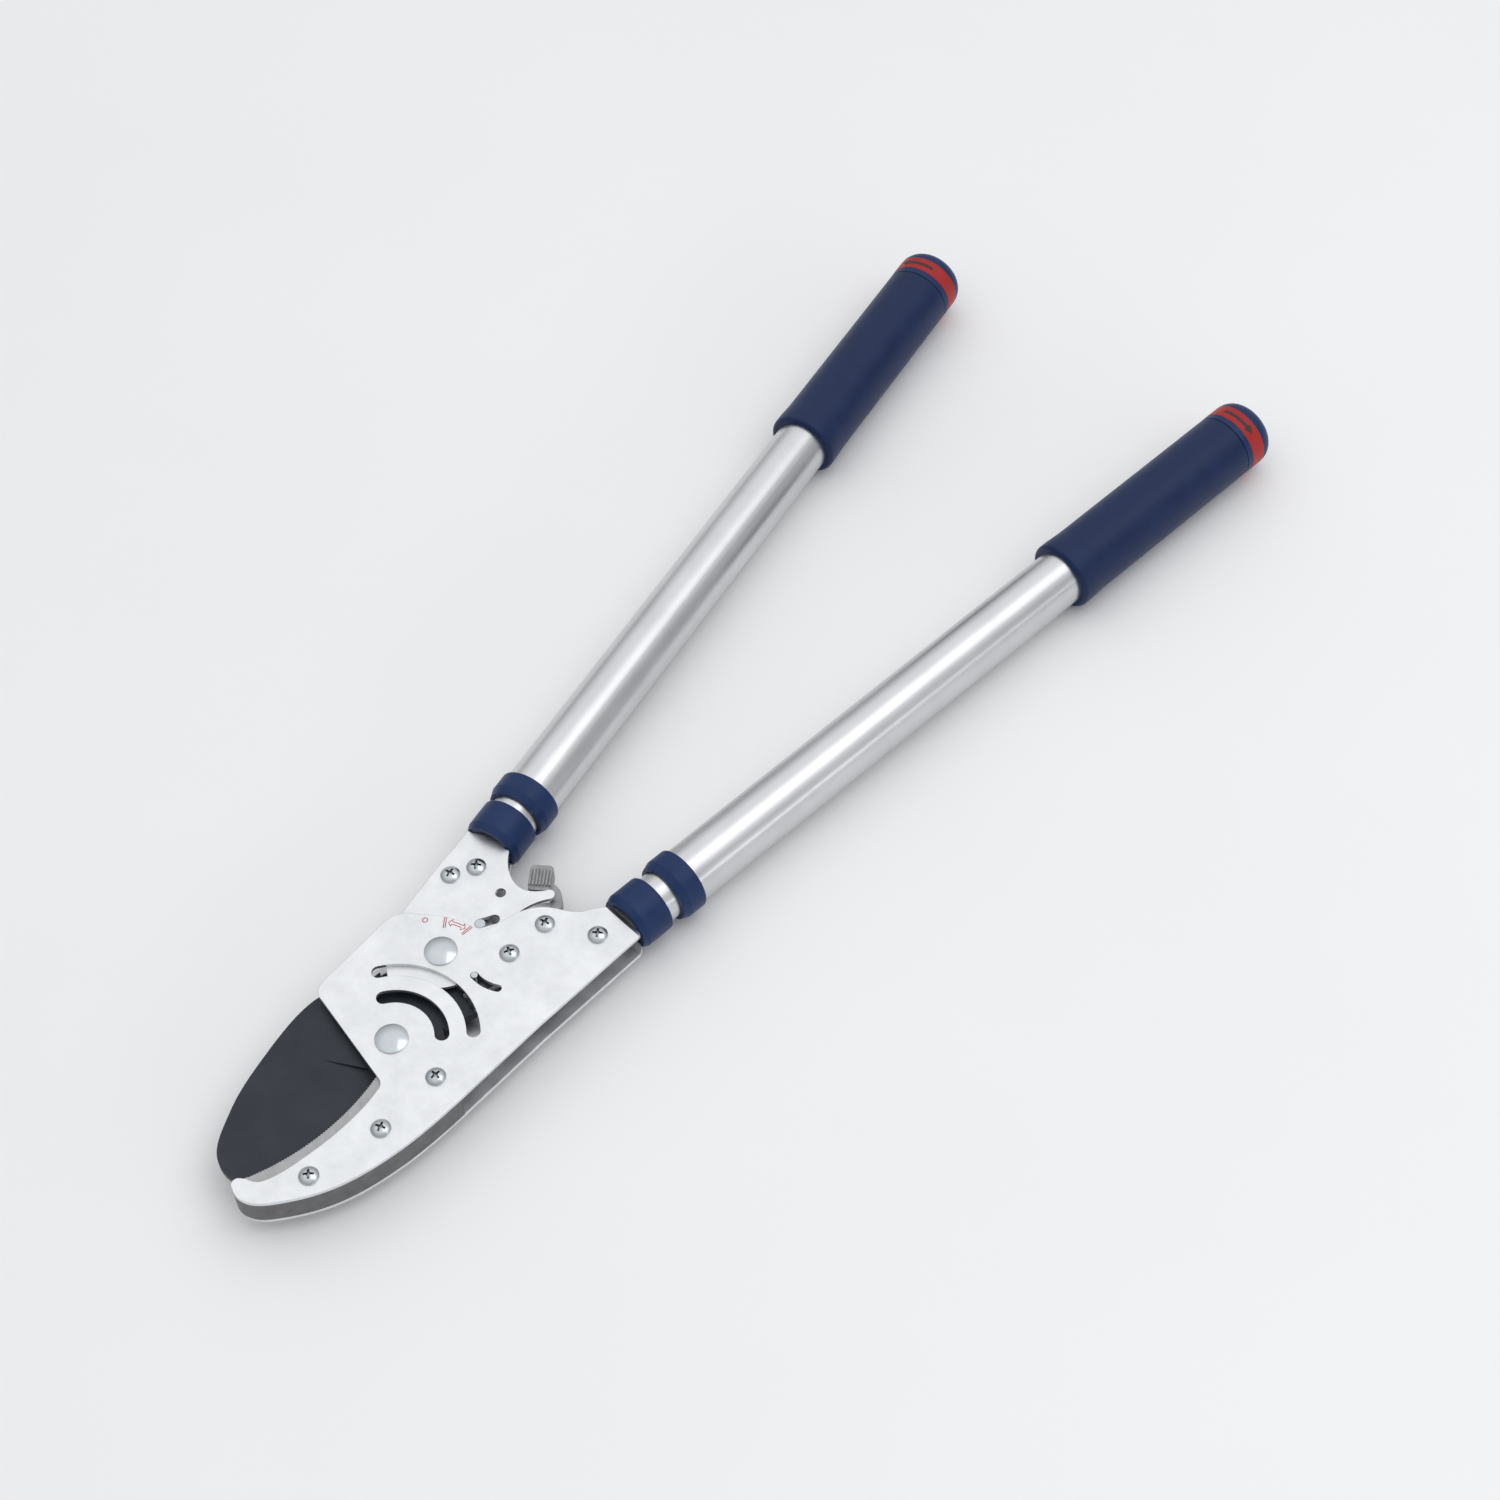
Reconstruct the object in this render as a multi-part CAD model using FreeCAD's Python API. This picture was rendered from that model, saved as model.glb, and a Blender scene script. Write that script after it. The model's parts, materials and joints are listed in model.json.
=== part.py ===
"""Ratchet bypass loppers with two telescopic handles, lying flat and closed.

The loppers are drawn in the plane of the tool, around the blade pivot: +Y runs along the
fixed handle towards its grip, +Z out of the front plate. At the end every piece is moved so
that the origin is the middle of the underside of the whole tool. Millimetres throughout.
"""
import FreeCAD, Part
import math
import os
from FreeCAD import Vector

# ---- pivots and handle axes -------------------------------------------------------------
BLADE_PIVOT = (0.0, 0.0)
HANDLE_PIVOT = (-21.6, 49.4)
FIXED_AXIS_X = 25.94
FIXED_FERRULE_Y = 127.0
MOVING_AXIS_X = -26.0
MOVING_FERRULE_ALONG = 114.6
HANDLE_SPREAD = 15.54

# ---- layers of the head, measured from the middle of the blade ---------------------------
BLADE_HALF = 2.2
POCKET_HALF = 2.6
PAWL_HALF = 2.2
LEVER_HALF = 4.2
INNER_PLATE_LOW = 4.6
INNER_PLATE_TOP = 6.6
OUTER_PLATE_LOW = 6.7
OUTER_PLATE_TOP = 8.7

# ---- screws: places on the fixed plates and on the moving plates --------------------------
LEVER_SCREW = (2.6, 96.1)
NECK_SCREW = (25.8, 110.2)
PAWL_SCREW = (3.1, 72.5)
HEEL_SCREW = (31.3, 1.5)
JAW_SCREW = (34.6, -35.3)
HOOK_SCREW = (30.4, -75.5)
MOVING_SCREWS = [(-54.2, 82.9), (-48.6, 95.2)]
SLEEVED_SCREWS = [LEVER_SCREW, NECK_SCREW, PAWL_SCREW]
INSERT_SCREWS = [HEEL_SCREW, JAW_SCREW, HOOK_SCREW]
SCREW_R = 2.45
SCREW_HOLE_R = 2.5
SCREW_HEAD_R = 5.0
SCREW_HEAD_H = 2.7
NUT_ACROSS_FLATS = 8.0
NUT_H = 4.0
SLEEVE_R = 4.0
SLEEVE_BORE_R = 2.55

# ---- rivets ------------------------------------------------------------------------------
RIVET_R = 4.5
RIVET_HEAD_R = 8.25
RIVET_HEAD_H = 2.6
PIVOT_BUSH_R = 8.0
BLADE_BUSH_R = 6.5
BLADE_WASHER_R = 10.0
RUNNING_GAP = 0.05

# ---- ratchet ------------------------------------------------------------------------------
SECTOR_CREST_R = 43.5
SECTOR_ROOT_R = 41.3
SECTOR_FROM = 71.0
SECTOR_TO = 161.0
SECTOR_TEETH = 15
HUB_R = 25.0
PAWL_PIN_R = 1.7
PAWL_PIN_ARM = 20.66
PAWL_PIN_ANGLE = -97.2
PAWL_TRAVEL = 40.0
SPRING_R = 4.9
SPRING_WIRE_R = 0.45
SPRING_PITCH = 1.05
SPRING_TURNS = 3
SPRING_END_ANGLE = 37.0
SLIDE_SLOT_START = (-21.6, 74.4)
SLIDE_SLOT_END = (-18.5, 81.1)
SLIDE_PIN_R = 2.6
SLIDE_SLOT_R = 2.75
TAIL_R = 19.8
LOBE_R = 28.4

# ---- windows and holes --------------------------------------------------------------------
WINDOW_FROM = 51.5
WINDOW_TO = 149.7
INNER_WINDOW = (20.7, 27.9)
OUTER_WINDOW = (36.1, 42.9)
HANG_HOLE = (-28.3, 93.6)
HANG_HOLE_R = 2.7

# ---- tubes, ferrules, rings, grips: radii, and stations along a handle from its ferrule ----
CROWN_HALF_ANGLE = 38.0
CROWN_RISE = 0.65
INNER_TUBE_R = 13.2
INNER_TUBE_BORE = 11.7
OUTER_TUBE_R = 15.25
OUTER_TUBE_BORE = 13.5
FERRULE_R = 15.5
FERRULE_MOUTH_R = 11.5
FERRULE_CHAMFER_R = 14.0
FERRULE_CHAMFER_END = 3.6
FERRULE_END = 19.0
INNER_TUBE_START = 4.0
INNER_TUBE_END = 425.0
RING_START = 25.8
RING_CHAMFER_R = 15.4
RING_CHAMFER_LENGTH = 4.4
RING_END = 40.2
RING_R = 17.0
OUTER_TUBE_START = 28.0
OUTER_TUBE_END = 443.4
GRIP_START = 313.0
GRIP_END = 443.4
GRIP_R = 18.8
GRIP_TIP_R = 18.6
GRIP_LIP_R = 19.3
GRIP_LIP_LENGTH = 7.0
GRIP_NECK_LENGTH = 16.0
KNOB_START = 443.7
KNOB_R = 18.6
SPIGOT_R = 13.2
SPIGOT_LENGTH = 10.0
ROD_SEAT_DEPTH = 8.0
BAND_START = 447.2
BAND_END = 456.0
BAND_SEAT_R = 16.9
HANDLE_END = 465.5
HANDLE_END_ROUND = 9.0
MOVING_SET_IN = 2.6
TANG_HALF_WIDTH = 9.0
SHOULDER_HALF_WIDTH = 12.4
TANG_END = 60.0
TANG_PIN_AT = 12.0
TANG_PIN_R = 2.5
LOCK_ROD_R = 3.0
LOCK_START = 85.0


# ---- drawing helpers -----------------------------------------------------------------------
def polar(centre, radius, degrees):
    angle = math.radians(degrees)
    return (centre[0] + radius * math.cos(angle), centre[1] + radius * math.sin(angle))


def at(point, z=0.0):
    return Vector(point[0], point[1], z)


def line(a, b):
    return Part.makeLine(at(a), at(b))


def arc(a, middle, b):
    return Part.Arc(at(a), at(middle), at(b)).toShape()


def curve(points):
    spline = Part.BSplineCurve()
    spline.interpolate([at(p) for p in points])
    return spline.toShape()


def polyline(points):
    return [line(a, b) for a, b in zip(points, points[1:])]


def prism(edges, low, high):
    """A closed chain of edges in the XY plane, filled and raised from low to high."""
    face = Part.Face(Part.Wire(edges))
    solid = face.extrude(Vector(0, 0, high - low))
    solid.translate(Vector(0, 0, low))
    return solid


def disc(centre, radius, low, high):
    return Part.makeCylinder(radius, high - low, at(centre, low))


def washer(centre, outer, inner, low, high):
    return disc(centre, outer, low, high).cut(disc(centre, inner, low - 1, high + 1))


def capsule(a, b, radius, low, high):
    """A straight slot shape between two end centres."""
    length = math.dist(a, b)
    side = ((a[1] - b[1]) * radius / length, (b[0] - a[0]) * radius / length)
    corners = [
        (a[0] + side[0], a[1] + side[1]),
        (b[0] + side[0], b[1] + side[1]),
        (b[0] - side[0], b[1] - side[1]),
        (a[0] - side[0], a[1] - side[1]),
    ]
    bar = prism(polyline(corners + corners[:1]), low, high)
    return bar.fuse([disc(a, radius, low, high), disc(b, radius, low, high)]).removeSplitter()


def ring_slot(centre, inner, outer, start, end, low, high):
    """A curved slot with round ends, its end centres at start and end degrees."""
    middle = (start + end) / 2
    half = (outer - inner) / 2
    mean = (outer + inner) / 2
    edges = [
        arc(polar(centre, outer, start), polar(centre, outer, middle), polar(centre, outer, end)),
        arc(
            polar(centre, outer, end),
            polar(polar(centre, mean, end), half, end + 90),
            polar(centre, inner, end),
        ),
        arc(polar(centre, inner, end), polar(centre, inner, middle), polar(centre, inner, start)),
        arc(
            polar(centre, inner, start),
            polar(polar(centre, mean, start), half, start - 90),
            polar(centre, outer, start),
        ),
    ]
    return prism(edges, low, high)


def holes(centres, radius):
    return [disc(c, radius, -20, 20) for c in centres]


def mirrored(shape):
    """The same piece on the rear side of the tool."""
    return shape.mirror(Vector(0, 0, 0), Vector(0, 0, 1))


def group(shapes):
    return Part.makeCompound(shapes)


# ---- fasteners ------------------------------------------------------------------------------
def domed_head(centre, radius, height, base):
    """A shallow dome on a short straight rim."""
    rim = 0.25 * height
    rise = height - rim
    ball_r = (radius * radius + rise * rise) / (2 * rise)
    ball = Part.makeSphere(ball_r, at(centre, base + height - ball_r))
    return disc(centre, radius, base, base + height).common(ball)


def rivet(centre):
    head = domed_head(centre, RIVET_HEAD_R, RIVET_HEAD_H, OUTER_PLATE_TOP)
    shank = disc(centre, RIVET_R, -OUTER_PLATE_TOP, OUTER_PLATE_TOP)
    return shank.fuse([head, mirrored(head)]).removeSplitter()


def cross_recess(centre, top, turn):
    """The cross slot of a screw head."""
    arm = Part.makeBox(5.2, 1.1, 2.0, Vector(-2.6, -0.55, 0))
    cross = arm.fuse(Part.makeBox(1.1, 5.2, 2.0, Vector(-0.55, -2.6, 0)))
    cross = cross.fuse(Part.makeCone(0.5, 1.7, 2.0))
    cross.rotate(Vector(0, 0, 0), Vector(0, 0, 1), turn)
    cross.translate(at(centre, top - 1.5))
    return cross


def screw(centre, seat, turn):
    """Pan-head cross screw through the whole head, its seat at the given height."""
    head = domed_head(centre, SCREW_HEAD_R, SCREW_HEAD_H, seat)
    shank = disc(centre, SCREW_R, -seat - NUT_H - 0.5, seat)
    return shank.fuse(head).cut(cross_recess(centre, seat + SCREW_HEAD_H, turn))


def nut(centre, seat):
    corner_r = NUT_ACROSS_FLATS / 2 / math.cos(math.radians(30))
    corners = [polar(centre, corner_r, 60 * i) for i in range(7)]
    body = prism(polyline(corners), -seat - NUT_H, -seat)
    return body.cut(disc(centre, SCREW_R, -seat - NUT_H - 1, -seat + 1))


def screws_for(centres, seat):
    return group([screw(c, seat, 15 + 25 * i) for i, c in enumerate(centres)])


def nuts_for(centres, seat):
    return group([nut(c, seat) for c in centres])


# ---- fixed side of the head -------------------------------------------------------------------
HOOK_BACK = [
    (10.0, -105.2), (16.0, -106.4), (22.9, -103.6), (30.0, -95.7), (37.1, -84.3),
    (42.9, -71.4), (47.9, -50.0), (49.7, -28.0), (49.4, -10.0), (48.6, 3.0),
]
JAW_MOUTH = [
    (17.1, -22.9), (19.3, -31.4), (20.9, -42.9), (21.6, -57.1), (21.0, -71.4),
    (19.3, -85.7), (17.1, -92.9),
]
UPPER_EDGE = [
    (17.4, 126.5), (14.9, 122.4), (12.3, 118.3), (9.6, 113.6), (4.6, 109.2), (-3.1, 104.4),
    (-9.6, 97.0), (-13.0, 87.0), (-15.2, 74.8), (-18.8, 70.2),
]
CAM_EDGE = [
    (-18.8, 70.2), (-25.0, 68.8), (-31.3, 66.5), (-37.5, 62.8), (-44.0, 57.6), (-50.2, 52.8),
]


def fixed_plate_edges():
    """Outline of the fixed plates, from the hook's nose up its back, down the other side."""
    neck_right = (FIXED_AXIS_X + TANG_HALF_WIDTH, UPPER_EDGE[0][1])
    neck_left = (FIXED_AXIS_X - TANG_HALF_WIDTH, UPPER_EDGE[0][1])
    tang_end = FIXED_FERRULE_Y + TANG_END
    return (
        [
            arc((8.3, -99.3), (7.0, -102.3), HOOK_BACK[0]),
            curve(HOOK_BACK),
            line(HOOK_BACK[-1], (44.3, 57.1)),
            line((44.3, 57.1), (40.9, 122.4)),
            arc((40.9, 122.4), (39.8, 125.4), neck_right),
        ]
        + polyline([neck_right, (neck_right[0], tang_end), (neck_left[0], tang_end), neck_left])
        + [
            line(neck_left, UPPER_EDGE[0]),
            curve(UPPER_EDGE),
            curve(CAM_EDGE),
            arc(CAM_EDGE[-1], (-53.9, 47.2), (-54.7, 40.0)),
            line((-54.7, 40.0), (-49.2, -1.5)),
            arc((-49.2, -1.5), (-46.8, -7.4), (-41.4, -9.9)),
            line((-41.4, -9.9), (11.6, -18.3)),
            arc((11.6, -18.3), (15.4, -19.7), JAW_MOUTH[0]),
            curve(JAW_MOUTH),
            arc(JAW_MOUTH[-1], (13.9, -96.1), (10.7, -97.4)),
            line((10.7, -97.4), (8.3, -99.3)),
        ]
    )


def fixed_plate_blank():
    """Outline filled, with the neck stepped inwards so that it enters the ferrule."""
    step = INNER_PLATE_TOP - OUTER_PLATE_TOP
    flat_end = 123.6
    neck_start = 126.4
    far = FIXED_FERRULE_Y + TANG_END + 5
    side = [
        (-120, OUTER_PLATE_LOW), (flat_end, OUTER_PLATE_LOW), (neck_start, OUTER_PLATE_LOW + step),
        (far, OUTER_PLATE_LOW + step), (far, OUTER_PLATE_TOP + step),
        (neck_start + 0.5, OUTER_PLATE_TOP + step), (flat_end + 0.5, OUTER_PLATE_TOP),
        (-120, OUTER_PLATE_TOP),
    ]
    corners = [Vector(-80, y, z) for y, z in side + side[:1]]
    band = Part.Face(Part.makePolygon(corners)).extrude(Vector(160, 0, 0))
    edges = [e for e in fixed_plate_edges() if e.Length > 0.01]
    return prism(edges, 0, 12).common(band)


def fixed_plate_holes():
    tang_pin = (FIXED_AXIS_X, FIXED_FERRULE_Y + TANG_PIN_AT)
    return (
        holes(SLEEVED_SCREWS + INSERT_SCREWS, SCREW_HOLE_R)
        + holes([BLADE_PIVOT, HANDLE_PIVOT], RIVET_R)
        + holes([tang_pin], TANG_PIN_R)
    )


def front_plate():
    windows = [
        ring_slot(BLADE_PIVOT, *span, WINDOW_FROM, WINDOW_TO, 0, 20)
        for span in (INNER_WINDOW, OUTER_WINDOW)
    ]
    pin_track = ring_slot(
        PAWL_SCREW, PAWL_PIN_ARM - PAWL_PIN_R - 0.3, PAWL_PIN_ARM + PAWL_PIN_R + 0.3,
        PAWL_PIN_ANGLE, PAWL_PIN_ANGLE + PAWL_TRAVEL, 0, 20,
    )
    return fixed_plate_blank().cut(fixed_plate_holes() + windows + [pin_track])


def rear_plate():
    return mirrored(fixed_plate_blank().cut(fixed_plate_holes()))


# ---- hooked jaw insert --------------------------------------------------------------------------
LIP_TOP = (9.6, -17.9)
LIP_MIDDLE = (15.7, -55.5)
LIP_BOTTOM = (9.3, -95.8)
LIP_TEETH = 54
LIP_TOOTH_DEPTH = 0.55


def lip_serration():
    """Fine teeth along the arc of the lip, from its top to its bottom."""
    bow = arc(LIP_TOP, LIP_MIDDLE, LIP_BOTTOM).Curve
    centre = (bow.Center.x, bow.Center.y)
    start = math.degrees(math.atan2(LIP_TOP[1] - centre[1], LIP_TOP[0] - centre[0]))
    end = math.degrees(math.atan2(LIP_BOTTOM[1] - centre[1], LIP_BOTTOM[0] - centre[0]))
    points = []
    for i in range(2 * LIP_TEETH + 1):
        radius = bow.Radius + (LIP_TOOTH_DEPTH if i % 2 else 0.0)
        points.append(polar(centre, radius, start + (end - start) * i / (2 * LIP_TEETH)))
    return polyline(points)


def blade_pocket():
    """The space the blade closes into, a little larger than its edge and its hub."""
    edge = [(18.8, -18.0), (20.4, -42.0), (20.6, -58.0), (19.2, -72.0), (16.0, -86.0), (11.6, -97.0)]
    outside = [edge[-1], (2.0, -108.0), (-70.0, -108.0), (-70.0, -10.0), edge[0]]
    outline = [curve(edge)] + polyline(outside)
    pocket = prism(outline, -POCKET_HALF, POCKET_HALF)
    return pocket.fuse(disc(BLADE_PIVOT, HUB_R + 1.0, -POCKET_HALF, POCKET_HALF))


def jaw_insert():
    """Thick hook between the plates: its back, the two serrated lips and the blade's pocket."""
    heel_ring = polar(HEEL_SCREW, 5.0, 90)
    edges = (
        lip_serration()
        + [
            line(LIP_BOTTOM, (8.3, -99.3)),
            arc((8.3, -99.3), (7.0, -102.3), HOOK_BACK[0]),
            curve(HOOK_BACK),
            line(HOOK_BACK[-1], heel_ring),
            arc(heel_ring, polar(HEEL_SCREW, 5.0, 150), polar(HEEL_SCREW, 5.0, 200)),
            line(polar(HEEL_SCREW, 5.0, 200), (25.5, -12.0)),
            line((25.5, -12.0), LIP_TOP),
        ]
    )
    solid = prism(edges, -OUTER_PLATE_LOW, OUTER_PLATE_LOW)
    return solid.cut([blade_pocket()] + holes(INSERT_SCREWS, SCREW_HOLE_R))


# ---- blade ---------------------------------------------------------------------------------------
BLADE_BACK = [
    (-47.4, -11.0), (-46.8, -20.0), (-44.6, -31.0), (-39.0, -50.0), (-30.2, -73.0),
    (-24.0, -84.0), (-18.8, -92.0), (-14.0, -97.0), (-8.0, -100.2), (-1.5, -101.0), (4.5, -99.4),
]
CUTTING_EDGE = [
    (4.5, -99.4), (9.4, -95.6), (14.6, -86.0), (18.0, -72.0), (19.4, -58.0), (19.2, -42.0),
    (17.0, -29.0), (14.5, -20.36),
]
BEVEL_TOP = (-19.0, -29.6)
BEVEL_BOTTOM = (-11.5, -92.0)
BEVEL_HEEL = (1.0, -16.8)
BEVEL_WIDTH = 36.0
EDGE_THICKNESS = 0.7


def sector_teeth():
    """Saw-shaped teeth from the leading end of the sector round to its trailing end."""
    pitch = (SECTOR_TO - SECTOR_FROM) / SECTOR_TEETH
    points = []
    for i in range(SECTOR_TEETH):
        start = SECTOR_FROM + pitch * i
        points.append(polar(BLADE_PIVOT, SECTOR_CREST_R, start))
        points.append(polar(BLADE_PIVOT, SECTOR_ROOT_R, start + 0.92 * pitch))
    points.append(polar(BLADE_PIVOT, SECTOR_CREST_R, SECTOR_TO))
    return points


def bevel_cutter():
    """Wedge that leaves the blade's face sloping from the bevel's inner line to its edge."""
    drop = 2 * BLADE_HALF - EDGE_THICKNESS
    top = BLADE_HALF
    section = [(0, top), (BEVEL_WIDTH, top - drop), (BEVEL_WIDTH + 20, top - drop),
               (BEVEL_WIDTH + 20, top + 2), (0, top + 2)]
    corners = [Vector(x, -140, z) for x, z in section + section[:1]]
    wedge = Part.Face(Part.makePolygon(corners)).extrude(Vector(0, 180, 0))
    lean = math.degrees(math.atan2(BEVEL_BOTTOM[0] - BEVEL_TOP[0], BEVEL_TOP[1] - BEVEL_BOTTOM[1]))
    wedge.rotate(Vector(0, 0, 0), Vector(0, 0, 1), lean)
    wedge.translate(at(BEVEL_TOP))
    below = [
        BEVEL_TOP, BEVEL_HEEL, (30.0, -20.5), (60.0, -20.5), (60.0, -130.0), (-19.0, -130.0), BEVEL_TOP
    ]
    return wedge.common(prism(polyline(below), -5, 5))


def blade():
    teeth = sector_teeth()
    trailing = polar(BLADE_PIVOT, SECTOR_CREST_R, SECTOR_TO)
    heel_angle = math.degrees(math.atan2(CUTTING_EDGE[-1][1], CUTTING_EDGE[-1][0]))
    leading_foot = polar(BLADE_PIVOT, HUB_R, SECTOR_FROM - 2)
    edges = (
        [curve(BLADE_BACK), curve(CUTTING_EDGE)]
        + [
            arc(
                CUTTING_EDGE[-1],
                polar(BLADE_PIVOT, HUB_R, (heel_angle + SECTOR_FROM) / 2),
                leading_foot,
            ),
            line(leading_foot, teeth[0]),
        ]
        + polyline(teeth)
        + [
            arc(trailing, polar(BLADE_PIVOT, SECTOR_CREST_R + 0.6, 171), (-44.6, -1.0)),
            arc((-44.6, -1.0), (-46.6, -5.8), BLADE_BACK[0]),
        ]
    )
    solid = prism(edges, -BLADE_HALF, BLADE_HALF)
    bore = disc(BLADE_PIVOT, BLADE_BUSH_R, -5, 5)
    return solid.cut([bevel_cutter(), bore])


def blade_bush():
    return washer(BLADE_PIVOT, BLADE_BUSH_R, RIVET_R + RUNNING_GAP, -BLADE_HALF, BLADE_HALF)


def blade_washers():
    ring = washer(BLADE_PIVOT, BLADE_WASHER_R, RIVET_R, BLADE_HALF + 0.1, OUTER_PLATE_LOW)
    return group([ring, mirrored(ring)])


# ---- sleeves of the fixed plates ------------------------------------------------------------------
def plate_sleeves():
    return group(
        [washer(c, SLEEVE_R, SLEEVE_BORE_R, -OUTER_PLATE_LOW, OUTER_PLATE_LOW) for c in SLEEVED_SCREWS]
    )


# ---- moving side of the head -----------------------------------------------------------------------
def moving_point(across, along):
    """A point given across and along the moving handle's axis."""
    angle = math.radians(HANDLE_SPREAD)
    return (
        MOVING_AXIS_X + across * math.cos(angle) - along * math.sin(angle),
        across * math.sin(angle) + along * math.cos(angle),
    )


def moving_plate_edges():
    """Outline of the moving plates: neck, finger, round tail about the pivot, back edge."""
    neck = MOVING_FERRULE_ALONG - 0.4
    tang_end = MOVING_FERRULE_ALONG + TANG_END
    right = [
        moving_point(TANG_HALF_WIDTH, tang_end), moving_point(TANG_HALF_WIDTH, neck),
        moving_point(SHOULDER_HALF_WIDTH, neck),
    ]
    left = [
        moving_point(-SHOULDER_HALF_WIDTH, neck), moving_point(-TANG_HALF_WIDTH, neck),
        moving_point(-TANG_HALF_WIDTH, tang_end),
    ]
    shoulder = [
        right[-1], (-38.4, 107.2), (-32.2, 103.7), (-21.5, 103.1), (-17.6, 105.6), (-13.3, 110.6),
    ]
    tail_from = polar(HANDLE_PIVOT, TAIL_R, 50)
    tail_to = polar(HANDLE_PIVOT, TAIL_R, -78)
    lobe_from = polar(HANDLE_PIVOT, LOBE_R, -91)
    lobe_to = polar(HANDLE_PIVOT, LOBE_R, -109)
    return [
        *polyline(left[::-1]),
        curve([left[0], (-66.4, 99.0), (-63.4, 86.0), (-58.8, 68.9), (-55.6, 57.5), (-52.0, 47.0)]),
        curve([(-52.0, 47.0), (-46.5, 37.0), (-40.0, 29.5), lobe_to]),
        arc(lobe_to, polar(HANDLE_PIVOT, LOBE_R, -100), lobe_from),
        line(lobe_from, tail_to),
        arc(tail_to, polar(HANDLE_PIVOT, TAIL_R, 0), tail_from),
        curve([tail_from, (-10.9, 74.0), (-12.6, 86.0), (-12.9, 95.6), (-11.3, 102.4), (-8.2, 108.6)]),
        arc((-8.2, 108.6), (-8.9, 112.4), (-13.3, 110.6)),
        curve(shoulder[::-1]),
        *polyline(right[::-1]),
        line(right[0], left[-1]),
    ]


def moving_plate():
    blank = prism(moving_plate_edges(), INNER_PLATE_LOW, INNER_PLATE_TOP)
    tang_pin = moving_point(0, MOVING_FERRULE_ALONG + TANG_PIN_AT)
    return blank.cut(
        holes(MOVING_SCREWS, SCREW_HOLE_R)
        + holes([HANDLE_PIVOT], RIVET_R + RUNNING_GAP)
        + holes([HANG_HOLE], HANG_HOLE_R)
        + holes([tang_pin], TANG_PIN_R)
        + [capsule(SLIDE_SLOT_START, SLIDE_SLOT_END, SLIDE_SLOT_R, 0, 20)]
    )


def moving_sleeves():
    return group(
        [washer(c, SLEEVE_R, SLEEVE_BORE_R, -INNER_PLATE_LOW, INNER_PLATE_LOW) for c in MOVING_SCREWS]
    )


def handle_pivot_bush():
    return washer(
        HANDLE_PIVOT, PIVOT_BUSH_R, RIVET_R + RUNNING_GAP, -INNER_PLATE_LOW, INNER_PLATE_LOW
    )


# ---- ratchet pieces -----------------------------------------------------------------------------------
def slide_direction():
    length = math.dist(SLIDE_SLOT_START, SLIDE_SLOT_END)
    return (
        (SLIDE_SLOT_END[0] - SLIDE_SLOT_START[0]) / length,
        (SLIDE_SLOT_END[1] - SLIDE_SLOT_START[1]) / length,
    )


def fork_point(across, along):
    """A point given across and along the drive pawl's slide, from the handle pivot."""
    dx, dy = slide_direction()
    return (
        HANDLE_PIVOT[0] + across * dy + along * dx,
        HANDLE_PIVOT[1] - across * dx + along * dy,
    )


def drive_pawl():
    """Fork that straddles the pivot bush; its right prong carries the driving tooth."""
    inner = PIVOT_BUSH_R + 0.3
    outline = [(inner, -3.6), (9.6, -3.5), (12.4, -0.9), (12.6, 3.0), (9.0, 12.0), (0.0, 18.0)]
    boss = [(-4.6, 24.0), (-10.8, 28.6), (-16.0, 22.0)]
    left = [(-13.0, 8.0), (-12.0, -1.0), (-inner, -1.0), (-inner, 0.0)]
    points = [fork_point(*p) for p in outline]
    round_top = [fork_point(*p) for p in boss]
    far_side = [fork_point(*p) for p in left]
    crown = arc(far_side[-1], fork_point(0, inner), fork_point(inner, 0))
    edges = (
        polyline(points + round_top[:1])
        + [arc(*round_top)]
        + polyline([round_top[-1]] + far_side)
        + [crown, line(fork_point(inner, 0), points[0])]
    )
    return prism(edges, -PAWL_HALF, PAWL_HALF).cut(disc(SLIDE_SLOT_START, SLIDE_PIN_R, -5, 5))


def drive_pawl_pin():
    return disc(SLIDE_SLOT_START, SLIDE_PIN_R, -INNER_PLATE_TOP, INNER_PLATE_TOP)


def pawl_pin_centre():
    return polar(PAWL_SCREW, PAWL_PIN_ARM, PAWL_PIN_ANGLE)


def holding_pawl():
    """Arm round the sleeve of its screw, with a pointed tip just over the sector's teeth."""
    pin = pawl_pin_centre()
    tip = polar(PAWL_SCREW, 28.9, -85.0)
    hub = 7.0
    arm = [
        polar(PAWL_SCREW, hub, 180), polar(pin, 3.4, 180), polar(pin, 3.2, -110),
        (tip[0] - 2.2, tip[1] + 0.9), tip, (tip[0] + 1.3, tip[1] + 5.0), polar(PAWL_SCREW, hub, 0),
    ]
    body = prism(polyline(arm + arm[:1]), -PAWL_HALF, PAWL_HALF)
    body = body.fuse(disc(PAWL_SCREW, hub, -PAWL_HALF, PAWL_HALF)).removeSplitter()
    bore = disc(PAWL_SCREW, SLEEVE_R + RUNNING_GAP, -5, 5)
    return body.cut([bore, disc(pin, PAWL_PIN_R, -5, 5)])


def holding_pawl_pin():
    return disc(pawl_pin_centre(), PAWL_PIN_R, -PAWL_HALF, OUTER_PLATE_TOP + 0.3)


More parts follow.
